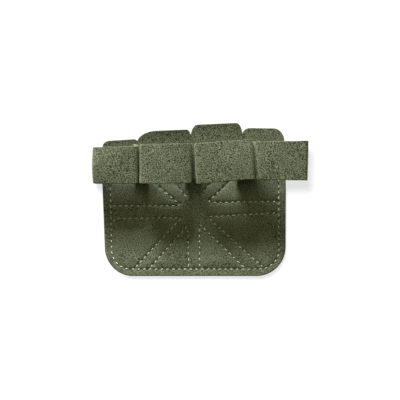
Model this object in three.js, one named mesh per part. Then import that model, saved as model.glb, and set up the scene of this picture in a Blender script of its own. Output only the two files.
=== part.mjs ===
// A palm grip for weightlifting, for the left hand, lying on its outer face with its finger loops up.
// Two cut layers of suede are sewn together over the palm. The outer one runs on into four finger tabs.
// One long suede strap crosses them and stands up in four finger loops. Its two ends are sewn in between the
// layers, at the sides of the palm, and three seams hold it down between the loops.
// Millimetres: +X runs from the little finger to the index finger, +Y towards the finger tips, +Z up.
// The origin is on the table, under the middle of the grip.

import * as THREE from "three";

// Driving dimensions
const SUEDE = { outer: 1.8, inner: 1.6, strap: 1.8, sewnEnd: 0.6 };
const PADDING = { loft: 0.7, slope: 9 };
const LAYER_GAP = 0.3;
const PALM = { left: -53.8, right: 47.2, heel: -41.8, cornerRadius: 16.0 };
const INNER = { inset: 0.3, tipEdge: 28.4 };
const HEEL_CURL = { from: -23, lift: 1.15, cornerLift: 0.5 };
const TAB_CURL_FROM = 26;

// How the inner layer rises over the strap's two sewn ends, which are pared thin and lie under it, and how much
// thinner it is pressed there
const END_RISE = { height: SUEDE.sewnEnd + LAYER_GAP, press: 0.3, flatRun: 6.1, run: 14, fromY: -5, fullY: 10 };
const END_Z = SUEDE.outer + LAYER_GAP + SUEDE.sewnEnd / 2;
const FULL_STRAP_Z = 5;

// How high the middle of the strap's thickness lies where it is sewn to the padded palm
const SEAM_Z = SUEDE.outer + LAYER_GAP + SUEDE.inner + PADDING.loft + LAYER_GAP + SUEDE.strap / 2;

// A short table: one object for each row, with the columns' names
function table(columns, rows) {
  return rows.map((row) => Object.fromEntries(columns.map((name, k) => [name, row[k]])));
}

// The side edges lean a little: where they run at a few heights
const SIDES = table(["y", "left", "right"], [
  [PALM.heel, -52.4, 46.9],
  [-28.0, -52.5, 47.2],
  [8.7, -53.9, 47.3],
  [34.0, -53.6, 46.4],
]);

// One row for each finger tab. Its top runs from leftTop to rightTop.
// Its round corners are leftCorner and rightCorner wide, and start and end at startY and endY.
const TABS = table(
  ["finger", "left", "right", "startY", "leftCorner", "leftTop", "rightTop", "rightCorner", "endY", "lift"],
  [
    ["little", -53.8, -34.8, 29.6, 3.8, 32.4, 33.6, 2.0, 32.8, 0.8],
    ["ring", -34.8, -4.8, 31.4, 11.0, 37.7, 38.9, 2.6, 34.9, 1.4],
    ["middle", -4.8, 23.8, 34.9, 3.8, 41.3, 42.6, 3.6, 36.0, 1.4],
    ["index", 23.8, 47.2, 35.8, 4.2, 39.7, 39.4, 5.9, 32.4, 0.5],
  ],
);

// The strap's folds, along the middle of its thickness, from its little finger end to its index finger end.
// tip and palm are its two long edges: a fold crosses them at xTip and xPalm, yTip and yPalm, zTip and zPalm.
// crown lifts the middle of the stretch that follows, and cup bulges the middle of the strap's width outwards.
const STRAP_FOLDS = table(
  ["fold", "xTip", "xPalm", "zTip", "zPalm", "yTip", "yPalm", "radius", "crown", "cup"],
  [
    ["little_end", -48.4, -48.4, END_Z, END_Z, 28.0, 11.4, 0, 0, 0],
    ["little_foot", -57.2, -57.2, END_Z, END_Z, 28.3, 11.0, 2.4, 0, 0],
    ["little_outer", -57.7, -57.7, 7.9, 7.9, 28.9, 9.3, 2.4, 0.2, 0.6],
    ["little_top_left", -57.4, -57.4, 10.3, 10.3, 28.8, 8.8, 2.6, 0.7, 0.7],
    ["little_top_right", -34.6, -34.7, 10.7, 10.3, 29.4, 8.9, 2.4, 0, 0],
    ["little_inner", -34.9, -35.0, 8.2, 8.2, 30.0, 10.2, 2.0, 0, 0],
    ["seam_1_left", -36.8, -36.8, SEAM_Z, SEAM_Z, 30.6, 11.4, 1.2, 0, 0],
    ["seam_1_right", -28.0, -28.0, SEAM_Z, SEAM_Z, 30.6, 11.4, 1.2, 0, 0],
    ["ring_outer", -31.8, -31.9, 8.2, 8.2, 30.5, 10.2, 1.6, 0, 0],
    ["ring_top_left", -32.0, -32.1, 11.9, 12.3, 30.4, 8.8, 1.2, 0.2, 0.2],
    ["ring_bend", -12.0, -12.0, 12.5, 12.7, 30.7, 9.0, 8.0, 0.1, 0.1],
    ["ring_top_right", -5.2, -5.2, 11.0, 11.0, 30.8, 9.1, 2.4, 0, 0],
    ["ring_inner", -5.5, -5.6, 8.4, 8.4, 30.7, 10.2, 2.0, 0, 0],
    ["seam_2_left", -10.1, -10.1, SEAM_Z, SEAM_Z, 30.4, 11.2, 1.2, 0, 0],
    ["seam_2_right", -0.6, -0.6, SEAM_Z, SEAM_Z, 30.4, 11.2, 1.2, 0, 0],
    ["middle_top_left", -2.5, -1.2, 13.7, 13.3, 30.8, 8.6, 1.1, 0, 0.2],
    ["middle_bend", 3.4, 4.4, 12.9, 12.7, 31.2, 9.1, 10.0, 0.2, 0.2],
    ["middle_top_right", 29.6, 31.6, 14.0, 14.3, 33.2, 11.6, 1.0, 0, 0.2],
    ["seam_3_left", 18.4, 18.4, SEAM_Z, SEAM_Z, 32.0, 11.2, 1.2, 0, 0],
    ["seam_3_right", 22.6, 22.6, SEAM_Z, SEAM_Z, 32.0, 11.2, 1.2, 0, 0],
    ["index_top_left", 32.0, 33.4, 13.0, 12.7, 31.7, 11.0, 1.3, 0.1, 0.2],
    ["index_top_right", 58.3, 57.7, 14.0, 13.4, 32.2, 10.6, 1.1, 0, 0.1],
    ["index_crease", 58.1, 57.5, 11.5, 11.0, 32.2, 10.7, 1.1, 0, 0.1],
    ["index_foot", 50.3, 50.3, END_Z, END_Z, 29.5, 11.2, 3.0, 0, 0],
    ["index_end", 41.9, 41.9, END_Z, END_Z, 28.0, 11.4, 0, 0, 0],
  ],
);

// How finely the curves are cut: steps are counted, and columns are so far apart at most and at least
const STEPS = { palmRows: 12, cornerArc: 7, tabCorner: 4, foldArc: 4, stretch: 6, strapWidth: 4 };
const WIDEST_COLUMN = 7;
const CLOSEST_COLUMNS = { outer: 0.05, inner: 0.6 };

const { clamp, lerp, smoothstep } = THREE.MathUtils;

// A closed sheet of leather between two grids of points, grid[i][j].
// Seen from the upper side, i runs to the right and j away.
function sheetSolid(upper, lower) {
  const columns = upper.length;
  const rows = upper[0].length;
  const positions = [...upper.flat(), ...lower.flat()].flatMap((p) => [p.x, p.y, p.z]);
  const above = (i, j) => i * rows + j;
  const below = (i, j) => (columns + i) * rows + j;
  const index = [];
  const quad = (a, b, c, d) => index.push(a, b, c, a, c, d);
  for (let i = 0; i + 1 < columns; i++) {
    for (let j = 0; j + 1 < rows; j++) {
      quad(above(i, j), above(i + 1, j), above(i + 1, j + 1), above(i, j + 1));
      quad(below(i, j), below(i, j + 1), below(i + 1, j + 1), below(i + 1, j));
    }
    const last = rows - 1;
    quad(below(i, 0), below(i + 1, 0), above(i + 1, 0), above(i, 0));
    quad(above(i, last), above(i + 1, last), below(i + 1, last), below(i, last));
  }
  for (let j = 0; j + 1 < rows; j++) {
    const last = columns - 1;
    quad(below(0, j), above(0, j), above(0, j + 1), below(0, j + 1));
    quad(above(last, j), below(last, j), below(last, j + 1), above(last, j + 1));
  }
  const geometry = new THREE.BufferGeometry();
  geometry.setAttribute("position", new THREE.Float32BufferAttribute(positions, 3));
  geometry.setIndex(index);
  geometry.computeVertexNormals();
  return geometry;
}

// Where the left and right edges of the palm run at height y
function sidesAt(y) {
  const clamped = clamp(y, SIDES[0].y, SIDES[SIDES.length - 1].y);
  const upper = Math.max(1, SIDES.findIndex((row) => clamped <= row.y));
  const [a, b] = [SIDES[upper - 1], SIDES[upper]];
  const share = (clamped - a.y) / (b.y - a.y);
  return { left: lerp(a.left, b.left, share), right: lerp(a.right, b.right, share) };
}

// The heel edge of the palm: straight, with a round corner at each side
function heelEdge(x) {
  const r = PALM.cornerRadius;
  const intoCorner = Math.max(0, r - Math.min(x - PALM.left, PALM.right - x));
  return PALM.heel + r - Math.sqrt(Math.max(0, r * r - intoCorner * intoCorner));
}

const tabAt = (x) => TABS.find((tab) => x <= tab.right) ?? TABS[TABS.length - 1];

// The tip edge: four tabs with elliptical corners, which meet in three notches
function tipEdge(x) {
  const tab = tabAt(x);
  const top = lerp(tab.leftTop, tab.rightTop, (x - tab.left) / (tab.right - tab.left));
  const corner = (run, width, from) => {
    const reach = 1 - Math.min(1, Math.max(0, run) / width);
    return lerp(from, top, Math.sqrt(1 - reach * reach));
  };
  const left = corner(x - tab.left, tab.leftCorner, tab.startY);
  const right = corner(tab.right - x, tab.rightCorner, tab.endY);
  return Math.min(left, right);
}

// The places across the palm where its outline needs a point, none closer than the given distance
function palmColumns(closest) {
  const marks = [];
  const bend = (k, steps) => 1 - Math.cos((k / steps) * (Math.PI / 2));
  for (let k = 0; k <= STEPS.cornerArc; k++) {
    const run = PALM.cornerRadius * bend(k, STEPS.cornerArc);
    marks.push(PALM.left + run, PALM.right - run);
  }
  for (const tab of TABS) {
    marks.push(tab.left, tab.right);
    for (let k = 0; k <= STEPS.tabCorner; k++) {
      marks.push(tab.left + tab.leftCorner * bend(k, STEPS.tabCorner));
      marks.push(tab.right - tab.rightCorner * bend(k, STEPS.tabCorner));
    }
  }
  const isKept = (x, k, all) => k === 0 || x === PALM.right || x - all[k - 1] > closest;
  const sorted = marks.sort((a, b) => a - b).filter((x, k, all) => x !== all[k - 1]).filter(isKept);
  return sorted.flatMap((x, k) => {
    const next = sorted[k + 1];
    const parts = next === undefined ? 1 : Math.ceil((next - x) / WIDEST_COLUMN);
    return Array.from({ length: parts }, (_, n) => (n === 0 ? x : lerp(x, next, n / parts)));
  });
}

// How far the underside stands off the table: the heel and the tabs curl up
function underside(x, y) {
  const tab = tabAt(x);
  const tabTip = Math.max(tab.leftTop, tab.rightTop);
  const tipShare = Math.max(0, (y - TAB_CURL_FROM) / (tabTip - TAB_CURL_FROM));
  const heelShare = Math.max(0, (HEEL_CURL.from - y) / (HEEL_CURL.from - PALM.heel));
  const sideShare = Math.abs(x - (PALM.left + PALM.right) / 2) / ((PALM.right - PALM.left) / 2);
  const heel = HEEL_CURL.lift + HEEL_CURL.cornerLift * sideShare ** 2;
  return tab.lift * tipShare ** 2 + heel * heelShare ** 2;
}

// A palm layer: its columns run from the heel edge to the given tip edge
function palmLayer(columns, inset, tipOf, bottomOf, thicknessOf) {
  const upper = [];
  const lower = [];
  for (const x of columns) {
    const [from, to] = [heelEdge(x) + inset, tipOf(x)];
    const top = [];
    const bottom = [];
    for (let row = 0; row <= STEPS.palmRows; row++) {
      const y = lerp(from, to, row / STEPS.palmRows);
      const sides = sidesAt(y);
      const across = (x - PALM.left) / (PALM.right - PALM.left);
      const place = lerp(sides.left + inset, sides.right - inset, across);
      const z = bottomOf(x, y);
      bottom.push(new THREE.Vector3(place, y, z));
      top.push(new THREE.Vector3(place, y, z + thicknessOf(x, y)));
    }
    upper.push(top);
    lower.push(bottom);
  }
  return sheetSolid(upper, lower);
}

// 1 over the strap's sewn ends, and 0 away from them
function endShare(x, y) {
  const run = Math.min(x - PALM.left, PALM.right - x);
  return (1 - smoothstep(run, END_RISE.flatRun, END_RISE.run)) * smoothstep(y, END_RISE.fromY, END_RISE.fullY);
}

function outerPalm() {
  return palmLayer(palmColumns(CLOSEST_COLUMNS.outer), 0, tipEdge, underside, () => SUEDE.outer);
}

// The padding under the inner layer's face rises from its edges to a flat middle, and over the strap's sewn ends
// there is none
function innerThickness(x, y) {
  const run = Math.min(x - PALM.left, PALM.right - x);
  const rise = Math.min(y - PALM.heel, INNER.tipEdge - y);
  const loft = smoothstep(run, 0, PADDING.slope) * smoothstep(rise, 0, PADDING.slope);
  const overEnd = endShare(x, y);
  return SUEDE.inner + PADDING.loft * loft * (1 - overEnd) - END_RISE.press * overEnd;
}

function innerPalm() {
  const bottomOf = (x, y) => underside(x, y) + SUEDE.outer + LAYER_GAP + END_RISE.height * endShare(x, y);
  const columns = palmColumns(CLOSEST_COLUMNS.inner);
  return palmLayer(columns, INNER.inset, () => INNER.tipEdge, bottomOf, innerThickness);
}

// A stretch of the line, lifted in its middle by its crown. Without one it needs no points between its ends.
function addStretch(line, from, to, crown) {
  const steps = crown > 0 ? STEPS.stretch : 1;
  for (let step = 1; step <= steps; step++) {
    const point = from.clone().lerp(to, step / steps);
    point.z += crown * Math.sin((Math.PI * step) / steps);
    line.push(point);
  }
}

// A line through points with each corner rounded to its fold's radius, so every such line has as many points
function roundedPath(points, folds) {
  const line = [points[0]];
  let from = points[0];
  points.slice(1, -1).forEach((corner, k) => {
    const back = points[k].clone().sub(corner);
    const ahead = points[k + 2].clone().sub(corner);
    const halfAngle = back.angleTo(ahead) / 2;
    const wanted = folds[k + 1].radius / Math.tan(halfAngle);
    const reach = Math.min(wanted, back.length() * 0.48, ahead.length() * 0.48);
    const start = corner.clone().addScaledVector(back.normalize(), reach);
    const end = corner.clone().addScaledVector(ahead.normalize(), reach);
    const inwards = back.clone().add(ahead).normalize();
    const centre = corner.clone().addScaledVector(inwards, reach / Math.cos(halfAngle));
    addStretch(line, from, start, folds[k].crown);
    const [spokeIn, spokeOut] = [start.clone().sub(centre), end.clone().sub(centre)];
    const turn = spokeIn.angleTo(spokeOut);
    const axis = spokeIn.clone().cross(spokeOut).normalize();
    for (let step = 1; step <= STEPS.foldArc; step++) {
      const angle = (turn * step) / STEPS.foldArc;
      line.push(spokeIn.clone().applyAxisAngle(axis, angle).add(centre));
    }
    from = end;
  });
  addStretch(line, from, points[points.length - 1], 0);
  return line;
}

// The way that a fold of the strap faces, out of its loop
function outwards(points, k) {
  const before = points[Math.max(k - 1, 0)];
  const after = points[Math.min(k + 1, points.length - 1)];
  return after.clone().sub(before).cross(new THREE.Vector3(0, 1, 0)).normalize();
}

// Half the strap's thickness, which is pared down towards its low sewn ends
function halfStrap(z) {
  return lerp(SUEDE.sewnEnd, SUEDE.strap, smoothstep(z, END_Z, FULL_STRAP_Z)) / 2;
}

// The strap: one line along each of a few places across its width, thickened to both sides
function fingerStrap() {
  const widths = Array.from({ length: STEPS.strapWidth + 1 }, (_, k) => k / STEPS.strapWidth);
  const lines = widths.map((w) => {
    const points = STRAP_FOLDS.map(
      (f) => new THREE.Vector3(lerp(f.xPalm, f.xTip, w), lerp(f.yPalm, f.yTip, w), lerp(f.zPalm, f.zTip, w)),
    );
    const bulge = 4 * w * (1 - w);
    const bulged = points.map((point, k) => {
      return point.clone().addScaledVector(outwards(points, k), STRAP_FOLDS[k].cup * bulge);
    });
    return roundedPath(bulged, STRAP_FOLDS);
  });
  const upper = [];
  const lower = [];
  for (let i = 0; i < lines[0].length; i++) {
    const across = lines[lines.length - 1][i].clone().sub(lines[0][i]).normalize();
    const rows = lines.map((line) => {
      const along = line[Math.min(i + 1, line.length - 1)].clone().sub(line[Math.max(i - 1, 0)]);
      return { point: line[i], normal: along.cross(across).normalize() };
    });
    upper.push(rows.map((r) => r.point.clone().addScaledVector(r.normal, halfStrap(r.point.z))));
    lower.push(rows.map((r) => r.point.clone().addScaledVector(r.normal, -halfStrap(r.point.z))));
  }
  return sheetSolid(upper, lower);
}

// A named piece of olive suede
function piece(name, geometry, color) {
  const suede = new THREE.MeshStandardMaterial({ color, roughness: 0.95, metalness: 0 });
  const mesh = new THREE.Mesh(geometry, suede);
  mesh.name = name;
  return mesh;
}

const grip = new THREE.Group();
grip.add(piece("outer_palm", outerPalm(), 0x59604a));
grip.add(piece("inner_palm", innerPalm(), 0x646b51));
grip.add(piece("finger_strap", fingerStrap(), 0x70775b));

export default grip;
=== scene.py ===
# %% [markdown]
# # A suede palm grip for weightlifting
# The real grip is three cuts of olive suede. An outer layer runs on into four finger tabs. An inner layer
# with a thin padding is quilted onto it. One long strap crosses the fingers' roots. Its pared ends are sewn
# in between the layers, and three seams hold it down on the way, so that it stands up in four finger loops.
# The grip lies on its outer face, with the loops up.
#
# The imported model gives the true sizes. Every cut is made again here as fine suede: it starts as a flat
# grid, as a cut leather piece does, is laid or folded into its place, and then gets its thickness. Starting
# from a block and carving it would lose the one thing that all leather shares, an even thickness.
#
# Lengths in the tables are millimetres, because a leather worker measures so, and meshes are in metres.

import math
import random

import bmesh
import bpy
from mathutils import Matrix, Vector, geometry, noise
from mathutils.bvhtree import BVHTree
from mathutils.kdtree import KDTree


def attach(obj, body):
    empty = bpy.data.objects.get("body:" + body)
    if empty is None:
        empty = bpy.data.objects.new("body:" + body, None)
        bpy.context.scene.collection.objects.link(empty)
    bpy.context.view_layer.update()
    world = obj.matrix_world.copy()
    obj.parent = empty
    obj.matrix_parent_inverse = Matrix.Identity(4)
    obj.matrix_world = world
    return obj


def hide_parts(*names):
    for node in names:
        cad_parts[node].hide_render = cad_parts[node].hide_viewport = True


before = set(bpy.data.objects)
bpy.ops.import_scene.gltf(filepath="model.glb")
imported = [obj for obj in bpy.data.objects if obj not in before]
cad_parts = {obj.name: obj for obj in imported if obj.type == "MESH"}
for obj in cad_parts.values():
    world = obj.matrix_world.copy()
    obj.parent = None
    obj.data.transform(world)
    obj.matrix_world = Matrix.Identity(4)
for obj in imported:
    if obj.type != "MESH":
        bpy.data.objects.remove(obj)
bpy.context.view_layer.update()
MM = 0.001

# %% [markdown]
# ## The camera
# The grip was photographed from straight above. One pixel of the 400 pixel picture is 0.55 mm on the palm.
# A long lens far away would show no depth at all, and a short one close by would make the loops look wide.
# 0.9 m is a usual height over a product table, and it fixes the lens.

# %% Camera straight above
PICTURE_SIDE = 400
PIXEL_ON_PALM = 0.55
CAMERA_HEIGHT = 900.0
PALM_FACE_HEIGHT = 3.0
SENSOR = 36.0

view_side = PICTURE_SIDE * PIXEL_ON_PALM
camera_data = bpy.data.cameras.new("camera")
camera_data.sensor_width = SENSOR
camera_data.lens = SENSOR * (CAMERA_HEIGHT - PALM_FACE_HEIGHT) / view_side
camera = bpy.data.objects.new("camera", camera_data)
camera.location = Vector((0, 0, CAMERA_HEIGHT * MM))
bpy.context.scene.collection.objects.link(camera)
bpy.context.scene.camera = camera
print("lens, mm:", round(camera_data.lens, 1))

# %% [markdown]
# ## The sizes of the palm
# These are the sizes that the solids were made from. The sides lean a little, the heel edge has two wide
# round corners, and each of the four tabs has its own height and corners. They could be traced as one long
# list of points. A short table and two formulas say the same, and can be read.
#
# The suede has taken a set: its heel edge and its tabs curl up off the table by a millimetre or so. The
# strap's pared ends lie in between the two layers, and the inner layer rises over them by their thickness.

# %% Named sizes
SUEDE = {"outer": 1.8, "inner": 1.6, "strap": 1.8, "sewn_end": 0.6}
PADDING = {"loft": 0.7, "slope": 9.0}
LAYER_GAP = 0.3
PALM = {"left": -53.8, "right": 47.2, "heel": -41.8, "corner": 16.0}
INNER = {"inset": 0.3, "tip": 28.4, "seat": 0.04}
HEEL_CURL = {"from": -23.0, "lift": 1.15, "corner_lift": 0.5}
TAB_CURL_FROM = 26.0
END_RISE = {"height": SUEDE["sewn_end"] + LAYER_GAP, "press": 0.3, "flat_run": 6.1, "run": 14.0}
END_RISE_Y = {"from": -5.0, "full": 10.0}
END_Z = SUEDE["outer"] + LAYER_GAP + SUEDE["sewn_end"] / 2
FULL_STRAP_Z = 5.0
SEAM_Z = SUEDE["outer"] + LAYER_GAP + SUEDE["inner"] + PADDING["loft"] + LAYER_GAP + SUEDE["strap"] / 2


def read_table(columns, rows):
    return [dict(zip(columns.split(), row)) for row in rows]


SIDES = read_table("y left right", [
    (PALM["heel"], -52.4, 46.9),
    (-28.0, -52.5, 47.2),
    (8.7, -53.9, 47.3),
    (34.0, -53.6, 46.4),
])
TABS = read_table("finger left right start left_corner left_top right_top right_corner end lift", [
    ("little", -53.8, -34.8, 29.6, 3.8, 32.4, 33.6, 2.0, 32.8, 0.8),
    ("ring", -34.8, -4.8, 31.4, 11.0, 37.7, 38.9, 2.6, 34.9, 1.4),
    ("middle", -4.8, 23.8, 34.9, 3.8, 41.3, 42.6, 3.6, 36.0, 1.4),
    ("index", 23.8, 47.2, 35.8, 4.2, 39.7, 39.4, 5.9, 32.4, 0.5),
])

# %% The outline and the curl of the palm


def mix(a, b, share):
    return a + (b - a) * share


def ease(x, low, high):
    share = min(1.0, max(0.0, (x - low) / (high - low)))
    return share * share * (3 - 2 * share)


def sides_at(y):
    y = min(max(y, SIDES[0]["y"]), SIDES[-1]["y"])
    for a, b in zip(SIDES, SIDES[1:]):
        if y <= b["y"]:
            share = (y - a["y"]) / (b["y"] - a["y"])
            return mix(a["left"], b["left"], share), mix(a["right"], b["right"], share)


def heel_edge(x):
    corner = PALM["corner"]
    into = max(0.0, corner - min(x - PALM["left"], PALM["right"] - x))
    return PALM["heel"] + corner - math.sqrt(max(0.0, corner ** 2 - into ** 2))


def tab_at(x):
    return next((tab for tab in TABS if x <= tab["right"]), TABS[-1])


def tip_edge(x):
    tab = tab_at(x)
    top = mix(tab["left_top"], tab["right_top"], (x - tab["left"]) / (tab["right"] - tab["left"]))

    def corner(run, width, start):
        reach = 1 - min(1.0, max(0.0, run) / width)
        return mix(start, top, math.sqrt(1 - reach * reach))

    left = corner(x - tab["left"], tab["left_corner"], tab["start"])
    right = corner(tab["right"] - x, tab["right_corner"], tab["end"])
    return min(left, right)


def curl(x, y):
    """How far the underside stands off the table: the heel and the tabs curl up."""
    tab = tab_at(x)
    tip = max(tab["left_top"], tab["right_top"])
    tip_share = max(0.0, (y - TAB_CURL_FROM) / (tip - TAB_CURL_FROM))
    heel_share = max(0.0, (HEEL_CURL["from"] - y) / (HEEL_CURL["from"] - PALM["heel"]))
    side_share = abs(x - (PALM["left"] + PALM["right"]) / 2) / ((PALM["right"] - PALM["left"]) / 2)
    heel = HEEL_CURL["lift"] + HEEL_CURL["corner_lift"] * side_share ** 2
    return tab["lift"] * tip_share ** 2 + heel * heel_share ** 2


print("the middle tab stands", round(curl(10, 42), 1), "mm off the table")

# %% [markdown]
# ## Where the thread runs
# One seam follows the border, 4 mm inside the cut edge. The quilting is the common eight-armed star of
# double rows: eight wedges, each sewn along its two straight sides in one V, which leaves a narrow channel
# between each wedge and the next and an open star in the middle. Three short seams through all the layers
# hold the strap down between its loops. Every seam becomes one line of points 0.1 mm apart. That line sinks
# the suede along it, and the stitches are set on it, so thread and groove can't part.

# %% The border seam and the eight wedges
BORDER = {"left": 4.1, "right": 3.5, "heel": 3.8, "tip_y": 25.6, "heel_corner": 10.6, "tip_corner": 4.0}
WEDGES = {
    "left_low": [(-48.2, -12.6), (-46.4, -10.2), (-10.2, -9.7), (-35.8, -37.5)],
    "heel_left": [(-27.6, -37.6), (-6.7, -14.0), (-6.2, -37.6)],
    "heel_right": [(-0.1, -37.6), (-0.3, -13.2), (24.6, -37.5)],
    "right_low": [(35.2, -37.4), (23.6, -27.4), (4.1, -9.2), (42.0, -7.2)],
    "right_high": [(42.2, -0.8), (4.2, -1.5), (31.5, 25.4)],
    "tip_right": [(20.0, 25.4), (0.0, 2.5), (-0.1, 25.4)],
    "tip_left": [(-6.2, 25.4), (-6.9, 1.2), (-28.5, 25.4)],
    "left_high": [(-44.0, 25.4), (-10.4, -3.2), (-48.6, -3.3)],
}
APEX_RADIUS = 0.6
STRAP_SEAMS = {"little_ring": -32.6, "ring_middle": -5.4, "middle_index": 20.6}
STRAP_SEAM_Y = {"from": 12.6, "to": 25.0}
SEAM_STEP = 0.1
ARC_STEPS = 8
SHORT_OF_HALF = 0.48


def round_corners(corners, radii, closed=False):
    """A line through flat points, with an arc of its radius at each corner."""
    line = []
    count = len(corners)
    for k, corner in enumerate(corners):
        if not closed and k in (0, count - 1):
            line.append(Vector(corner))
            continue
        corner = Vector(corner)
        back = Vector(corners[k - 1]) - corner
        ahead = Vector(corners[(k + 1) % count]) - corner
        half = back.angle(ahead) / 2
        longest = SHORT_OF_HALF * min(back.length, ahead.length)
        reach = min(radii[k] / math.tan(half), longest)
        start, end = corner + back.normalized() * reach, corner + ahead.normalized() * reach
        middle = corner + (back.normalized() + ahead.normalized()).normalized() * (reach / math.cos(half))
        radius = (start - middle).length
        for step in range(ARC_STEPS + 1):
            spoke = (start - middle).lerp(end - middle, step / ARC_STEPS)
            line.append(middle + spoke.normalized() * radius)
    return line + line[:1] if closed else line


def walk(line, step):
    """Points along a line, an even step apart, each with the line's direction there."""
    found = []
    left_over = 0.0
    for a, b in zip(line, line[1:]):
        length = (b - a).length
        if length < 1e-9:
            continue
        along = left_over
        while along < length:
            found.append((a.lerp(b, along / length), (b - a) / length))
            along += step
        left_over = along - length
    return found


def border_seam():
    low, high = PALM["heel"] + BORDER["heel"], BORDER["tip_y"]
    left_low, right_low = sides_at(low)
    left_high, right_high = sides_at(high)
    corners = [
        (left_low + BORDER["left"], low),
        (right_low - BORDER["right"], low),
        (right_high - BORDER["right"], high),
        (left_high + BORDER["left"], high),
    ]
    radii = [BORDER["heel_corner"], BORDER["heel_corner"], BORDER["tip_corner"], BORDER["tip_corner"]]
    return round_corners(corners, radii, closed=True)


palm_seams = {"border": border_seam()}
for wedge, corners in WEDGES.items():
    palm_seams[wedge] = round_corners(corners, [APEX_RADIUS] * len(corners))
strap_seams = {}
for seam_name, x in STRAP_SEAMS.items():
    strap_seams[seam_name] = [Vector((x, STRAP_SEAM_Y["from"])), Vector((x, STRAP_SEAM_Y["to"]))]


def length_of(line):
    return sum((b - a).length for a, b in zip(line, line[1:]))


print("seams on the palm, mm:", round(sum(length_of(seam) for seam in palm_seams.values())))

# %% Looking up how far a place is from a seam


def tree_of(points):
    tree = KDTree(len(points))
    for k, point in enumerate(points):
        tree.insert(Vector((point.x, point.y, 0)), k)
    tree.balance()
    return tree


def seam_tree_of(seams):
    return tree_of([point for seam in seams for point, _ in walk(seam, SEAM_STEP)])


def distance_to(tree, place):
    """How far a place is from the nearest point of a tree, seen from above."""
    return tree.find(Vector((place.x, place.y, 0)))[2]


seam_tree = seam_tree_of(palm_seams.values())
border_tree = seam_tree_of([palm_seams["border"]])
underside_tree = seam_tree_of([*palm_seams.values(), *strap_seams.values()])

# %% [markdown]
# ## Stitches and their holes
# A stitch of this thread shows about 2.1 mm of it, and the needle goes down every 3.2 mm. The holes matter
# to the look as much as the thread does: each pulls the suede into a small pit.

# %% Where each stitch lies
STITCH = {"pitch": 3.2, "length": 2.1, "thread": 0.45, "arch": 0.38, "slant": 7.0}


def stitches_on(line):
    """The middle and direction of each stitch along a seam, with whole stitches only."""
    length = length_of(line)
    count = max(1, round(length / STITCH["pitch"]))
    steps = walk(line, length / count / 2)
    return steps[1:2 * count:2]


palm_stitches = [place for seam in palm_seams.values() for place in stitches_on(seam)]
strap_stitches = [place for seam in strap_seams.values() for place in stitches_on(seam)]
holes = []
for middle, direction in palm_stitches:
    holes += [middle + direction * STITCH["pitch"] / 2, middle - direction * STITCH["pitch"] / 2]
hole_tree = tree_of(holes)
print("stitches on the palm:", len(palm_stitches))

# %% [markdown]
# ## Cutting a flat piece
# A cut piece is a grid of quads whose vertices remember their column and row. Near the cut edges the
# columns and rows crowd together, because the edge's rounding needs them. The second skin comes from
# extruding all the faces at once, which also makes the wall of the cut edge, so the piece is closed from
# the start. A Solidify modifier would do it as well, but not with padding that swells on one side only.

# %% A flat grid, and its second skin
RIM_INSETS = (0.0, 0.04, 0.11, 0.24, 0.55)
RIM_RADIUS = 0.25
RIM_SAMPLE = 0.08
NARROW_RIM = 0.08
LOWER, UPPER = 0, 1


def spread(start, end, count):
    """Places from start to end that crowd towards both ends, with this many steps between."""
    rim = [min(inset, (end - start) * NARROW_RIM * k) for k, inset in enumerate(RIM_INSETS)]
    inner = (end - start) - 2 * rim[-1]
    middle = [start + rim[-1] + inner * k / count for k in range(1, count)]
    return [start + inset for inset in rim] + middle + [end - inset for inset in reversed(rim)]


def cut_grid(columns, rows):
    piece = bmesh.new()
    bmesh.ops.create_grid(piece, x_segments=columns - 1, y_segments=rows - 1, size=0.5)
    column = piece.verts.layers.int.new("column")
    row = piece.verts.layers.int.new("row")
    for vertex in piece.verts:
        vertex[column] = round((vertex.co.x + 0.5) * (columns - 1))
        vertex[row] = round((vertex.co.y + 0.5) * (rows - 1))
    return piece, column, row


def add_second_skin(piece):
    """Makes the flat grid a closed sheet, and says which skin each vertex is on."""
    skin = piece.verts.layers.int.new("skin")
    made = bmesh.ops.extrude_face_region(piece, geom=piece.faces[:], use_keep_orig=True)
    for part in made["geom"]:
        if isinstance(part, bmesh.types.BMVert):
            part[skin] = UPPER
    return skin


def rim_drop(inset):
    """How far the skin rounds off towards the cut edge."""
    if inset >= RIM_RADIUS:
        return 0.0
    return RIM_RADIUS - math.sqrt(RIM_RADIUS ** 2 - (RIM_RADIUS - inset) ** 2)


def finish_mesh(piece, name):
    """Turns a finished bmesh in millimetres into an object that rides on the grip."""
    bmesh.ops.recalc_face_normals(piece, faces=piece.faces[:])
    bmesh.ops.scale(piece, vec=(MM, MM, MM), verts=piece.verts[:])
    mesh = bpy.data.meshes.new(name)
    piece.to_mesh(mesh)
    piece.free()
    mesh.shade_smooth()
    made = bpy.data.objects.new(name, mesh)
    bpy.context.scene.collection.objects.link(made)
    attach(made, "root")
    print(name, "has", sum(len(face.vertices) - 2 for face in mesh.polygons), "triangles")
    return made


# %% [markdown]
# ## The outer palm layer
# It is the cut with the tabs. Each column of its grid runs from the heel edge to the tip edge, so the round
# corners of the tabs need columns close together. On the underside the seams pull grooves into it, deep
# enough for the thread to lie in them, so that the grip rests on suede.

# %% Columns and rows of the palm
FINE = 0.62
FINEST = 0.035
LEFT_WHOLE = 0.2
CORNER_STEPS = 8


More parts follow.
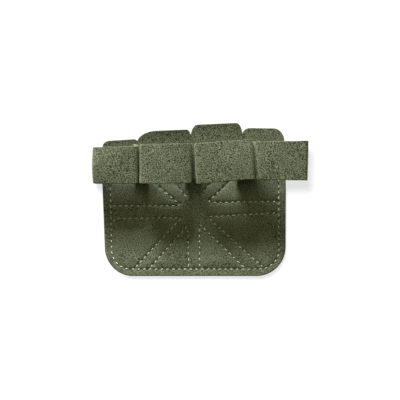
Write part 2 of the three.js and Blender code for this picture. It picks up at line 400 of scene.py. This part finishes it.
def palm_columns(with_tabs):
    """Where the columns run across the palm: crowded at the round corners and the cut edges."""
    marks = []
    bends = [1 - math.cos(k / CORNER_STEPS * math.pi / 2) for k in range(CORNER_STEPS + 1)]
    for run in [PALM["corner"] * bend for bend in bends] + list(RIM_INSETS):
        marks += [PALM["left"] + run, PALM["right"] - run]
    if with_tabs:
        for tab in TABS:
            marks += [tab["left"] + tab["left_corner"] * bend for bend in bends]
            marks += [tab["right"] - tab["right_corner"] * bend for bend in bends]
    marks.sort()
    kept = marks[:1]
    for mark in marks[1:]:
        if mark - kept[-1] > FINEST:
            kept.append(mark)
    kept[-1] = PALM["right"]
    columns = []
    for a, b in zip(kept, kept[1:]):
        parts = math.ceil((b - a) / FINE - LEFT_WHOLE)
        columns += [mix(a, b, k / parts) for k in range(parts)]
    return columns + [kept[-1]]


def lay_out(piece, column, row, columns, place_rows):
    """Gives every vertex of a flat grid its place on the palm, in plan."""
    rows_of = [place_rows(x) for x in columns]
    for vertex in piece.verts:
        x = columns[vertex[column]]
        y = rows_of[vertex[column]][vertex[row]]
        left, right = sides_at(y)
        across = (x - PALM["left"]) / (PALM["right"] - PALM["left"])
        vertex.co = Vector((mix(left, right, across), y, 0))


def measure_insets(piece):
    """How far each vertex lies from the cut edge, kept on the vertex for its thickness and its finish."""
    rim = []
    for edge in piece.edges:
        if edge.is_boundary:
            a, b = (vertex.co for vertex in edge.verts)
            parts = max(1, math.ceil((b - a).length / RIM_SAMPLE))
            rim += [a.lerp(b, k / parts) for k in range(parts)]
    tree = tree_of(rim)
    inset = piece.verts.layers.float.new("inset")
    for vertex in piece.verts:
        vertex[inset] = tree.find(vertex.co)[2]
    return inset


# %% The outer layer
OUTER_ROWS = 124
GROOVE = {"depth": 0.24, "border_depth": 0.12, "width": 0.7, "pit": 0.28, "pit_width": 0.45}
UNDERSIDE_GROOVE = {"depth": 0.43, "width": 0.8}


def outer_rows(x):
    return spread(heel_edge(x), tip_edge(x), OUTER_ROWS)


def groove_at(point):
    """How deep the seams and the needle's holes sink the suede: less at the border, where it is thin."""
    seam = distance_to(seam_tree, point)
    hole = distance_to(hole_tree, point)
    by_border = distance_to(border_tree, point) < seam + 0.01
    depth = GROOVE["border_depth"] if by_border else GROOVE["depth"]
    sunk = depth * math.exp(-(seam / GROOVE["width"]) ** 2)
    return sunk + GROOVE["pit"] * math.exp(-(hole / GROOVE["pit_width"]) ** 2)


def underside_groove_at(point):
    seam = distance_to(underside_tree, point)
    return UNDERSIDE_GROOVE["depth"] * math.exp(-(seam / UNDERSIDE_GROOVE["width"]) ** 2)


def outer_palm():
    columns = palm_columns(with_tabs=True)
    piece, column, row = cut_grid(len(columns), len(outer_rows(0.0)))
    lay_out(piece, column, row, columns, outer_rows)
    inset = measure_insets(piece)
    skin = add_second_skin(piece)
    for vertex in piece.verts:
        x, y = vertex.co.x, vertex.co.y
        base, drop = curl(x, y), rim_drop(vertex[inset])
        if vertex[skin] == LOWER:
            vertex.co.z = base + drop + underside_groove_at(vertex.co)
        else:
            vertex.co.z = base + SUEDE["outer"] - drop
    return piece


outer_bm = outer_palm()
outer_tree = BVHTree.FromBMesh(outer_bm)
outer = finish_mesh(outer_bm, "outer_palm_suede")
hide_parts("outer_palm")

# %% [markdown]
# ## The inner palm layer
# This is the face that shows. The thread holds it down along every seam, and the padding lifts it between
# them: most in the eight wedges, less in the narrow channels and hardly at all in the border. That could be
# simulated as an inflated cloth. The padding is under a millimetre thick, so the height over a seam is
# written as a function of the distance to it, which keeps the stitched lines sharp.

# %% How the padding lifts the inner layer
PUFF = {"wedge": 0.16, "channel": 0.08, "border": 0.04, "reach": 2.6}
PRESSED = {"from_y": 7.0, "full_y": 11.0, "share": 0.75}
WAVES = {"wide": 0.10, "wide_size": 16, "narrow": 0.05, "narrow_size": 6, "inset": 6}
STAR_CENTRE = Vector((-3.4, -6.7))
WEDGE_REACH = 1.7


def in_wedge(point):
    for corners in WEDGES.values():
        apex = min(map(Vector, corners[1:-1]), key=lambda corner: (corner - STAR_CENTRE).length)
        start = apex + (Vector(corners[0]) - apex) * WEDGE_REACH
        end = apex + (Vector(corners[-1]) - apex) * WEDGE_REACH
        if geometry.intersect_point_tri_2d(Vector((point.x, point.y)), apex, start, end):
            return True
    return False


def in_border(point):
    left, right = sides_at(point.y)
    across = left + BORDER["left"] < point.x < right - BORDER["right"]
    return across and PALM["heel"] + BORDER["heel"] < point.y < BORDER["tip_y"]


def end_share(x, y):
    """1 over the strap's sewn ends, which lift the inner layer, and 0 away from them."""
    run = min(x - PALM["left"], PALM["right"] - x)
    inwards = 1 - ease(run, END_RISE["flat_run"], END_RISE["run"])
    return inwards * ease(y, END_RISE_Y["from"], END_RISE_Y["full"])


def padded_height(point, inset):
    """The height of the quilted face over the underside of the inner layer."""
    rise = 1 - math.exp(-(distance_to(seam_tree, point) / PUFF["reach"]) ** 2)
    if not in_border(point):
        loft = PUFF["border"]
    elif in_wedge(point):
        loft = PUFF["wedge"]
    else:
        loft = PUFF["channel"]
    loft *= 1 - PRESSED["share"] * ease(point.y, PRESSED["from_y"], PRESSED["full_y"])
    over_end = end_share(point.x, point.y)
    padding = PADDING["loft"] * ease(inset, 0, PADDING["slope"]) * (1 - over_end)
    full = SUEDE["inner"] + padding - END_RISE["press"] * over_end
    waves = WAVES["wide"] * noise.noise(point / WAVES["wide_size"])
    waves += WAVES["narrow"] * noise.noise(point / WAVES["narrow_size"])
    return full + loft * rise + waves * ease(inset, 0, WAVES["inset"]) - groove_at(point)


# %% The inner layer
INNER_ROWS = 124


def inner_rows(x):
    return spread(heel_edge(x) + INNER["inset"], INNER["tip"], INNER_ROWS)


def inner_palm():
    columns = palm_columns(with_tabs=False)
    piece, column, row = cut_grid(len(columns), len(inner_rows(0.0)))
    lay_out(piece, column, row, columns, inner_rows)
    middle = (PALM["left"] + PALM["right"]) / 2
    half = (PALM["right"] - PALM["left"]) / 2
    for vertex in piece.verts:
        vertex.co.x = middle + (vertex.co.x - middle) * (half - INNER["inset"]) / half
    inset = measure_insets(piece)
    skin = add_second_skin(piece)
    for vertex in piece.verts:
        point = Vector((vertex.co.x, vertex.co.y, 0))
        lift = END_RISE["height"] * end_share(point.x, point.y)
        base = curl(point.x, point.y) + SUEDE["outer"] + INNER["seat"] + lift
        drop = rim_drop(vertex[inset])
        if vertex[skin] == LOWER:
            vertex.co.z = base + drop
        else:
            above_seat = LAYER_GAP - INNER["seat"]
            vertex.co.z = base + above_seat + padded_height(point, vertex[inset]) - drop
    return piece


inner_bm = inner_palm()
inner_tree = BVHTree.FromBMesh(inner_bm)
inner = finish_mesh(inner_bm, "inner_palm_quilted")
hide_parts("inner_palm")

# %% [markdown]
# ## The finger strap
# One strap about 20 mm wide runs across the grip. Read from the little finger: a pared end between the
# layers, out and up in a soft barrel, down to a seam, up again with a sharp crease, and so on, to a last
# crease beyond the palm. The table has a row for each fold: its place across the palm, its height and its
# place towards the tips, on the strap's tip edge and on its palm edge, and its radius. crown arches the
# stretch that follows, and cup bulges the middle of the strap's width. A cloth simulation could drape the
# strap as well. The table was chosen because it puts each crease where the photograph shows it.

# %% The folds of the strap
STRAP_FOLDS = read_table("fold x_tip x_palm z_tip z_palm y_tip y_palm radius crown cup", [
    ("little_end", -48.4, -48.4, END_Z, END_Z, 28.0, 11.4, 0.0, 0.0, 0.0),
    ("little_foot", -57.2, -57.2, END_Z, END_Z, 28.3, 11.0, 2.4, 0.0, 0.0),
    ("little_outer", -57.7, -57.7, 7.9, 7.9, 28.9, 9.3, 2.4, 0.2, 0.6),
    ("little_top_left", -57.4, -57.4, 10.3, 10.3, 28.8, 8.8, 2.6, 0.7, 0.7),
    ("little_top_right", -34.6, -34.7, 10.7, 10.3, 29.4, 8.9, 2.4, 0.0, 0.0),
    ("little_inner", -34.9, -35.0, 8.2, 8.2, 30.0, 10.2, 2.0, 0.0, 0.0),
    ("seam_1_left", -36.8, -36.8, SEAM_Z, SEAM_Z, 30.6, 11.4, 1.2, 0.0, 0.0),
    ("seam_1_right", -28.0, -28.0, SEAM_Z, SEAM_Z, 30.6, 11.4, 1.2, 0.0, 0.0),
    ("ring_outer", -31.8, -31.9, 8.2, 8.2, 30.5, 10.2, 1.6, 0.0, 0.0),
    ("ring_top_left", -32.0, -32.1, 11.9, 12.3, 30.4, 8.8, 1.2, 0.2, 0.2),
    ("ring_bend", -12.0, -12.0, 12.5, 12.7, 30.7, 9.0, 8.0, 0.1, 0.1),
    ("ring_top_right", -5.2, -5.2, 11.0, 11.0, 30.8, 9.1, 2.4, 0.0, 0.0),
    ("ring_inner", -5.5, -5.6, 8.4, 8.4, 30.7, 10.2, 2.0, 0.0, 0.0),
    ("seam_2_left", -10.1, -10.1, SEAM_Z, SEAM_Z, 30.4, 11.2, 1.2, 0.0, 0.0),
    ("seam_2_right", -0.6, -0.6, SEAM_Z, SEAM_Z, 30.4, 11.2, 1.2, 0.0, 0.0),
    ("middle_top_left", -2.5, -1.2, 13.7, 13.3, 30.8, 8.6, 1.1, 0.0, 0.2),
    ("middle_bend", 3.4, 4.4, 12.9, 12.7, 31.2, 9.1, 10.0, 0.2, 0.2),
    ("middle_top_right", 29.6, 31.6, 14.0, 14.3, 33.2, 11.6, 1.0, 0.0, 0.2),
    ("seam_3_left", 18.4, 18.4, SEAM_Z, SEAM_Z, 32.0, 11.2, 1.2, 0.0, 0.0),
    ("seam_3_right", 22.6, 22.6, SEAM_Z, SEAM_Z, 32.0, 11.2, 1.2, 0.0, 0.0),
    ("index_top_left", 32.0, 33.4, 13.0, 12.7, 31.7, 11.0, 1.3, 0.1, 0.2),
    ("index_top_right", 58.3, 57.7, 14.0, 13.4, 32.2, 10.6, 1.1, 0.0, 0.1),
    ("index_crease", 58.1, 57.5, 11.5, 11.0, 32.2, 10.7, 1.1, 0.0, 0.1),
    ("index_foot", 50.3, 50.3, END_Z, END_Z, 29.5, 11.2, 3.0, 0.0, 0.0),
    ("index_end", 41.9, 41.9, END_Z, END_Z, 28.0, 11.4, 0.0, 0.0, 0.0),
])
FOLD_STEPS = 8


def outwards(points, k):
    """The way that a fold of the strap faces, out of its loop."""
    before, after = points[max(k - 1, 0)], points[min(k + 1, len(points) - 1)]
    return (after - before).cross(Vector((0, 1, 0))).normalized()


def fold_points(share):
    """Where the folds lie on the line at this share of the strap's width, from its palm edge."""
    points = [
        Vector(mix(f[axis + "_palm"], f[axis + "_tip"], share) for axis in "xyz")
        for f in STRAP_FOLDS
    ]
    bulge = 4 * share * (1 - share)
    return [p + outwards(points, k) * STRAP_FOLDS[k]["cup"] * bulge for k, p in enumerate(points)]


def folded_line(points, stretch_steps):
    """A line through the folds, each rounded to its radius, with the same steps at any length."""
    line = [points[0]]
    start_of_stretch = points[0]

    def add_stretch(start, end, crown, steps):
        for step in range(1, steps + 1):
            point = start.lerp(end, step / steps)
            point.z += crown * math.sin(math.pi * step / steps)
            line.append(point)

    for k in range(1, len(points) - 1):
        back, ahead = points[k - 1] - points[k], points[k + 1] - points[k]
        half = back.angle(ahead) / 2
        longest = SHORT_OF_HALF * min(back.length, ahead.length)
        reach = min(STRAP_FOLDS[k]["radius"] / math.tan(half), longest)
        start, end = points[k] + back.normalized() * reach, points[k] + ahead.normalized() * reach
        inwards = (back.normalized() + ahead.normalized()).normalized()
        middle = points[k] + inwards * (reach / math.cos(half))
        add_stretch(start_of_stretch, start, STRAP_FOLDS[k - 1]["crown"], stretch_steps[k - 1])
        turn = (start - middle).angle(end - middle)
        axis = (start - middle).cross(end - middle).normalized()
        for step in range(1, FOLD_STEPS + 1):
            line.append(middle + Matrix.Rotation(turn * step / FOLD_STEPS, 3, axis) @ (start - middle))
        start_of_stretch = end
    add_stretch(start_of_stretch, points[-1], 0.0, stretch_steps[-1])
    return line


middle_folds = fold_points(0.5)
stretch_steps = [max(2, round((b - a).length / FINE)) for a, b in zip(middle_folds, middle_folds[1:])]
strap_line = folded_line(middle_folds, stretch_steps)
strap_length = length_of(strap_line)
strap_width = sum(f["y_tip"] - f["y_palm"] for f in STRAP_FOLDS) / len(STRAP_FOLDS)
print("the strap is cut", round(strap_length), "by", round(strap_width, 1), "mm")

# %% The strap
STRAP_ROWS = 32
SAG = {"wide": 0.16, "wide_size": 13, "narrow": 0.07, "narrow_size": 4.5}
RIPPLE = {"edge": 0.14, "size": 5, "across": 3}
STANDS_FREE = {"from_z": SEAM_Z + 0.5, "full_z": SEAM_Z + 4}
PINCH = {"depth": 0.3, "width": 0.7}


def strap_thickness(z):
    """The strap is pared down towards its low sewn ends."""
    return mix(SUEDE["sewn_end"], SUEDE["strap"], ease(z, END_Z, FULL_STRAP_Z))


def finger_strap():
    shares = [y / strap_width for y in spread(0.0, strap_width, STRAP_ROWS)]
    lines = [folded_line(fold_points(share), stretch_steps) for share in shares]
    piece, column, row = cut_grid(len(strap_line), len(shares))
    inset = piece.verts.layers.float.new("inset")
    run = [0.0]
    for a, b in zip(strap_line, strap_line[1:]):
        run.append(run[-1] + (b - a).length)
    for vertex in piece.verts:
        along, across = run[vertex[column]], shares[vertex[row]] * strap_width
        vertex[inset] = min(along, run[-1] - along, across, strap_width - across)
    skin = add_second_skin(piece)
    last = len(strap_line) - 1
    for vertex in piece.verts:
        i, j = vertex[column], vertex[row]
        point = lines[j][i].copy()
        tangent = lines[j][min(i + 1, last)] - lines[j][max(i - 1, 0)]
        across = (lines[-1][i] - lines[0][i]).normalized()
        normal = tangent.cross(across).normalized()
        free = ease(point.z, STANDS_FREE["from_z"], STANDS_FREE["full_z"])
        wave = SAG["wide"] * noise.noise(point / SAG["wide_size"])
        wave += SAG["narrow"] * noise.noise(point / SAG["narrow_size"])
        point += normal * wave * free
        place = Vector((point.x / RIPPLE["size"], point.z / RIPPLE["size"], shares[j] * RIPPLE["across"]))
        point.y += RIPPLE["edge"] * noise.noise(place) * free
        half = strap_thickness(lines[j][i].z) / 2 - rim_drop(vertex[inset])
        side = 1 if vertex[skin] == UPPER else -1
        pinch = 0.0
        if vertex[skin] == UPPER:
            seam = min(abs(point.x - x) for x in STRAP_SEAMS.values())
            pinch = PINCH["depth"] * math.exp(-(seam / PINCH["width"]) ** 2) * (1 - free)
        vertex.co = point + normal * side * (half - pinch)
    return piece


strap_bm = finger_strap()
bmesh.ops.recalc_face_normals(strap_bm, faces=strap_bm.faces[:])
strap_tree = BVHTree.FromBMesh(strap_bm)
strap = finish_mesh(strap_bm, "finger_strap_suede")
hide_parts("finger_strap")

# %% [markdown]
# ## The stitches
# A stitch is a short bent length of thread, fat in the middle, with its ends going down into the holes. A
# sphere with few faces, stretched and bent, is enough for something repeated hundreds of times. A ray finds
# the suede under each one and the way that it faces, so the stitches follow the curl of the heel. From just
# below the strap upwards the thread lies deeper, most of all on the quilting's upper spokes, and along the
# heel a little deeper. Less of it stands out of the suede there, as fine dashes like the photograph's.

# %% Setting a stitch on the suede
random.seed(11)
STITCH_SPREAD = {
    "slant": 4, "shortest": 0.80, "longest": 1.08, "thinnest": 0.93, "thickest": 1.05, "sunk": 0.05,
}
THREAD_SHAPE = {"segments": 8, "rings": 6, "flatness": 0.85, "stands_out": 0.55}
UPPER_STITCHES = {"sunk": 0.17, "on_spokes": 0.08, "from_y": 2.5, "full_y": 5.0}
HEEL_STITCHES = {"sunk": 0.07, "full_y": -37.5, "to_y": -34.0}
RAY_FROM_Z = {"palm": 12.0, "strap": 9.0, "underside": -5.0}


def sunk_at(place):
    """How much deeper than the others a stitch is pulled in."""
    upper = ease(place.y, UPPER_STITCHES["from_y"], UPPER_STITCHES["full_y"])
    if distance_to(border_tree, place) < 2 * SEAM_STEP:
        heel = 1 - ease(place.y, HEEL_STITCHES["full_y"], HEEL_STITCHES["to_y"])
        return HEEL_STITCHES["sunk"] * heel + UPPER_STITCHES["sunk"] * upper
    return (UPPER_STITCHES["sunk"] + UPPER_STITCHES["on_spokes"]) * upper


def sew(thread, places, tree, ray_from_z):
    ray = Vector((0, 0, -1 if ray_from_z > 0 else 1))
    for middle, direction in places:
        hit, normal, _, _ = tree.ray_cast(Vector((middle.x, middle.y, ray_from_z)), ray)
        if hit is None:
            continue
        if normal.dot(ray) > 0:
            normal = -normal
        along = Vector((direction.x, direction.y, 0))
        along = (along - normal * along.dot(normal)).normalized()
        slant = STITCH["slant"] + random.uniform(-STITCH_SPREAD["slant"], STITCH_SPREAD["slant"])
        along = Matrix.Rotation(math.radians(slant), 3, normal) @ along
        beside = normal.cross(along)
        length_share = random.uniform(STITCH_SPREAD["shortest"], STITCH_SPREAD["longest"])
        half_length = STITCH["length"] / 2 * length_share
        thread_share = random.uniform(STITCH_SPREAD["thinnest"], STITCH_SPREAD["thickest"])
        half_thread = STITCH["thread"] / 2 * thread_share
        sunk = random.uniform(0.0, STITCH_SPREAD["sunk"]) + sunk_at(middle)
        made = bmesh.ops.create_uvsphere(
            thread, radius=1.0, calc_uvs=True,
            u_segments=THREAD_SHAPE["segments"], v_segments=THREAD_SHAPE["rings"],
        )
        for vertex in made["verts"]:
            # end runs from -1 to 1 along the thread, and the sphere's poles are the two ends of it.
            end = vertex.co.z
            girth = half_thread * math.sqrt(1 + end * end) if abs(end) < 0.999 else 0.0
            rise = half_thread * THREAD_SHAPE["stands_out"] - sunk - STITCH["arch"] * end ** 2
            side = vertex.co.x * girth
            up = vertex.co.y * girth * THREAD_SHAPE["flatness"] + rise
            vertex.co = hit + along * end * half_length + beside * side + normal * up


def stitch_piece(name, places, tree, ray_from_z):
    thread = bmesh.new()
    thread.loops.layers.uv.new("UVMap")
    sew(thread, places, tree, ray_from_z)
    made = finish_mesh(thread, name)
    return made


all_stitches = palm_stitches + strap_stitches
palm_thread = stitch_piece("palm_stitches", palm_stitches, inner_tree, RAY_FROM_Z["palm"])
strap_thread = stitch_piece("strap_stitches", strap_stitches, strap_tree, RAY_FROM_Z["strap"])
under_thread = stitch_piece("underside_stitches", all_stitches, outer_tree, RAY_FROM_Z["underside"])

# %% [markdown]
# ## Building a finish
# A material is a small graph of nodes. Written out node by node it takes pages, so two helpers keep it
# short. Signal wraps one socket, so that the arithmetic of a pattern reads as arithmetic. Finish holds a
# material and makes every other node with one method.

# %% Signals and finishes


class Signal:
    """A socket that can be added, subtracted and multiplied."""

    def __init__(self, finish, socket):
        self.finish = finish
        self.socket = socket

    def math(self, operation, *values):
        return self.finish.node("ShaderNodeMath", {"operation": operation}, dict(enumerate(values)))

    def __add__(self, other):
        return self.math("ADD", self, other)

    def __sub__(self, other):
        return self.math("SUBTRACT", self, other)

    def __rsub__(self, other):
        return self.math("SUBTRACT", other, self)

    def __mul__(self, other):
        return self.math("MULTIPLY", self, other)

    __radd__ = __add__
    __rmul__ = __mul__


class Finish:
    """A material and its nodes."""

    def __init__(self, name):
        self.material = bpy.data.materials.new(name)
        self.material.use_nodes = True
        self.tree = self.material.node_tree
        self.tree.nodes.clear()

    def node(self, kind, settings=None, sockets=None, output=0):
        made = self.tree.nodes.new(kind)
        for name, value in (settings or {}).items():
            setattr(made, name, value)
        for name, value in (sockets or {}).items():
            if isinstance(value, Signal):
                self.tree.links.new(value.socket, made.inputs[name])
            else:
                made.inputs[name].default_value = value
        return Signal(self, made.outputs[output]) if len(made.outputs) else made

    def grain(self, size, detail=2.0, roughness=0.5, squeeze=None, distortion=0.0):
        """Noise with marks of this size, in millimetres, on the object's own coordinates."""
        place = self.node("ShaderNodeTexCoord", output="Object")
        if squeeze:
            place = self.node("ShaderNodeMapping", {}, {"Vector": place, "Scale": squeeze})
        sockets = {
            "Vector": place, "Scale": 1 / (size * MM), "Detail": detail,
            "Roughness": roughness, "Distortion": distortion,
        }
        return self.node("ShaderNodeTexNoise", {}, sockets)

    def range(self, signal, low, high, to_low=0.0, to_high=1.0):
        """Stretches a signal's low to high over to_low to to_high, and holds it there outside."""
        return self.node("ShaderNodeMapRange", {"clamp": True}, {
            "Value": signal, "From Min": low, "From Max": high, "To Min": to_low, "To Max": to_high,
        })

    def mix_colors(self, share, a, b):
        return self.node("ShaderNodeMix", {"data_type": "RGBA"}, {0: share, 6: a, 7: b}, output=2)

    def surface(self, sockets):
        shader = self.node("ShaderNodeBsdfPrincipled", {}, sockets)
        self.node("ShaderNodeOutputMaterial", {}, {"Surface": shader})
        return self.material


# %% [markdown]
# ## Suede
# Suede is the split side of the hide: a mat of short fibres with no gloss. Three things make it read as
# suede and not as cardboard. Clumps of nap half a millimetre across, a little wider than they are long, lie
# lit or shaded by their own fibres. The meshes here are too coarse for that, so the nap is in the finish
# alone: a slight bump, and painted light and painted shade on the clumps in the base colour. Its speckle
# therefore stays the same from whichever side the light comes. Soft patches several millimetres wide show
# where a hand has brushed it. The cut edges show raw fibre in one even tone. The strap's nap stands up more
# than the palm's, with harder painted shade between its clumps, so the same recipe takes the relief of the
# clumps and their contrast.

# %% Suede with its nap, brushed patches and cut edges
OLIVE = (0.155, 0.175, 0.105)
# LIT_NAP and SHADED_NAP are painted light and painted shade of the nap's clumps.
LIT_NAP = (2.1, 2.05, 2.2)
SHADED_NAP = (0.08, 0.09, 0.04)
RAW_EDGE = (0.95, 0.95, 0.95)
NAP_SQUEEZE = (0.85, 1.3, 1.0)
NAP = {"clump_size": 0.5, "clumps": 0.72, "fuzz_size": 0.2, "fuzz": 0.28, "half_range": 0.13}
PATCH = {"size": 9.0, "share": 0.14}
FRAY = {"reach": 0.5, "least": 0.35, "most": 0.85}
HIDES = read_table("name relief contrast", [
    ("outer_suede", 0.15, 2.8),
    ("inner_suede", 0.08, 1.05),
    ("strap_suede", 0.2, 4.0),
])


def tinted(factors):
    return tuple(channel * factor for channel, factor in zip(OLIVE, factors)) + (1.0,)


def suede(hide):
    finish = Finish(hide["name"])
    clumps = finish.grain(NAP["clump_size"], detail=1.0, squeeze=NAP_SQUEEZE)
    fuzz = finish.grain(NAP["fuzz_size"], roughness=0.6)
    patches = finish.range(finish.grain(PATCH["size"], distortion=0.6), 0.3, 0.7)
    half_range = NAP["half_range"] / hide["contrast"]
    nap = finish.range(clumps * NAP["clumps"] + fuzz * NAP["fuzz"], 0.5 - half_range, 0.5 + half_range)
    tone = nap * (1 - PATCH["share"]) + patches * PATCH["share"]
    # The clumps' painted light and painted shade go into the base colour here.
    color = finish.mix_colors(tone, tinted(SHADED_NAP), tinted(LIT_NAP))
    inset = finish.node("ShaderNodeAttribute", {"attribute_name": "inset"}, output="Fac")
    edge = finish.range(inset, 0.0, FRAY["reach"], 1.0, 0.0)
    frayed = edge * finish.range(fuzz, 0.35, 0.6, FRAY["least"], FRAY["most"])
    color = finish.mix_colors(frayed, color, tinted(RAW_EDGE))
    height = clumps * 0.7 + fuzz * 0.3
    bump = finish.node("ShaderNodeBump", {}, {
        "Strength": 1.0, "Distance": hide["relief"] * MM, "Height": height,
    })
    return finish.surface({
        "Base Color": color,
        "Roughness": 0.95,
        "Diffuse Roughness": 0.8,
        "Specular IOR Level": 0.15,
        "Sheen Weight": 0.25,
        "Sheen Roughness": 0.5,
        "Sheen Tint": (0.62, 0.66, 0.48, 1.0),
        "Normal": bump,
    })


for cut, hide in zip((outer, inner, strap), HIDES):
    cut.data.materials.append(suede(hide))
    print(cut.name, "is finished as", hide["name"])

# %% [markdown]
# ## Thread
# The thread is a pale sage polyester, laid up from plies. The sphere's own UV map runs round and along each
# stitch, so a slanted stripe on it is the twist of the plies: a bump, and in the colour painted shade
# between the plies and painted light on them, mixed half and half with a random tone.

# %% Thread with its twist
# THREAD_SHADE and THREAD_LIGHT are painted shade and painted light of the plies.
THREAD_SHADE = (0.60, 0.62, 0.46, 1)
THREAD_LIGHT = (0.84, 0.85, 0.69, 1)
PLIES = {"number": 5.0, "relief": 0.08}


def thread_finish():
    finish = Finish("sage_thread")
    place = finish.node("ShaderNodeTexCoord", output="UV")
    plies = finish.node("ShaderNodeTexWave", {"wave_type": "BANDS", "bands_direction": "DIAGONAL"}, {
        "Vector": place, "Scale": PLIES["number"], "Distortion": 0.4, "Detail": 0.0,
    }, output="Fac")
    tone = plies * 0.5 + finish.grain(4.0) * 0.5
    # The plies' painted shade and painted light, with a random tone, go into the base colour here.
    color = finish.mix_colors(finish.range(tone, 0.25, 0.75), THREAD_SHADE, THREAD_LIGHT)
    bump = finish.node("ShaderNodeBump", {}, {
        "Strength": 0.6, "Distance": PLIES["relief"] * MM, "Height": plies,
    })
    return finish.surface({
        "Base Color": color, "Roughness": 0.6, "Sheen Weight": 0.2, "Normal": bump,
    })


thread_material = thread_finish()
for thread in (palm_thread, strap_thread, under_thread):
    thread.data.materials.append(thread_material)
print("the thread is finished as", thread_material.name)

# %% [markdown]
# ## The table and the light
# The table is plain and pale. A low broad light comes from beyond the finger tips and a little from the
# left. It rakes over the nap, shines through the loops onto the palm and throws their shadow down it. A wide
# soft fill, as from a big sheet of silk over the same end of the table, and a weak warm light from all round
# open that shadow up. On the table the low light would throw a long dark shadow, so it and the fill are
# flagged off the table, as a studio does it with a card: they light the pieces of the grip alone. The table
# has two lights of its own, one that only brightens it and one from high on the left for its soft shadow.

# %% The table
TABLE_SIDE = 8.0
TABLE_WHITE = (0.88, 0.88, 0.88, 1)


def table_top():
    plane = bmesh.new()
    bmesh.ops.create_grid(plane, x_segments=1, y_segments=1, size=TABLE_SIDE / 2)
    mesh = bpy.data.meshes.new("table")
    plane.to_mesh(mesh)
    plane.free()
    made = bpy.data.objects.new("table", mesh)
    bpy.context.scene.collection.objects.link(made)
    finish = Finish("table_white")
    made.data.materials.append(finish.surface({"Base Color": TABLE_WHITE, "Roughness": 0.9}))
    return made


table = table_top()

# %% The lights
KEY = {"azimuth": 12.0, "elevation": 13.2, "distance": 1.2, "width": 0.50, "height": 0.15, "power": 46.0}
KEY_COLOR = (0.96, 0.99, 1.0)
TABLE_LIGHTS = read_table("name azimuth elevation angle strength shadow", [
    ("table_fill", 0.0, 90.0, 20.0, 2.40, False),
    ("table_shade", 30.0, 63.0, 20.0, 1.10, True),
])
TABLE_LIGHT_COLOR = (1.0, 1.0, 1.04)
FILL = {"azimuth": 0.0, "elevation": 55.0, "angle": 70.0, "strength": 0.56}
SKY = {"color": (1.0, 0.97, 0.64, 1.0), "light": 0.10}
SUN_DISTANCE = 1.5


def towards(azimuth, elevation):
    """The way to a light: azimuth is counted from +Y towards the left."""
    turn = math.radians(azimuth)
    rise = math.radians(elevation)
    return Vector((-math.sin(turn) * math.cos(rise), math.cos(turn) * math.cos(rise), math.sin(rise)))


def light_only(lamp, receivers):
    lit = bpy.data.collections.new(lamp.name + "_lights")
    for thing in receivers:
        lit.objects.link(thing)
    lamp.light_linking.receiver_collection = lit


def add_light(name, kind, way, distance):
    lamp = bpy.data.objects.new(name, bpy.data.lights.new(name, kind))
    lamp.location = way * distance
    lamp.rotation_mode = "QUATERNION"
    lamp.rotation_quaternion = way.to_track_quat("Z", "Y")
    bpy.context.scene.collection.objects.link(lamp)
    return lamp


grip_pieces = [outer, inner, strap, palm_thread, strap_thread, under_thread]
key = add_light("key", "AREA", towards(KEY["azimuth"], KEY["elevation"]), KEY["distance"])
key.data.shape = "RECTANGLE"
key.data.size = KEY["width"]
key.data.size_y = KEY["height"]
key.data.energy = KEY["power"]
key.data.color = KEY_COLOR
light_only(key, grip_pieces)

fill = add_light("fill", "SUN", towards(FILL["azimuth"], FILL["elevation"]), SUN_DISTANCE)
fill.data.energy = FILL["strength"]
fill.data.angle = math.radians(FILL["angle"])
fill.data.color = SKY["color"][:3]
light_only(fill, grip_pieces)

for light in TABLE_LIGHTS:
    lamp = add_light(light["name"], "SUN", towards(light["azimuth"], light["elevation"]), SUN_DISTANCE)
    lamp.data.energy = light["strength"]
    lamp.data.angle = math.radians(light["angle"])
    lamp.data.use_shadow = light["shadow"]
    lamp.data.color = TABLE_LIGHT_COLOR
    light_only(lamp, [table])
print("lamps:", 2 + len(TABLE_LIGHTS))

# %% The sky, and how the picture is developed
world = bpy.data.worlds.new("soft_white_room")
world.use_nodes = True
nodes = world.node_tree.nodes
nodes["Background"].inputs["Color"].default_value = SKY["color"]
nodes["Background"].inputs["Strength"].default_value = SKY["light"]
bpy.context.scene.world = world
bpy.context.scene.view_settings.view_transform = "Standard"
print("light from all round:", SKY["light"])

# %% [markdown]
# The outer layer and the strap are plain cuts of suede. The outer layer fills 94 hundredths of its box, for
# its corners are round and its tabs are of unequal height. The inner layer is padded.

# %% The strap's width in metres
strap_width * MM
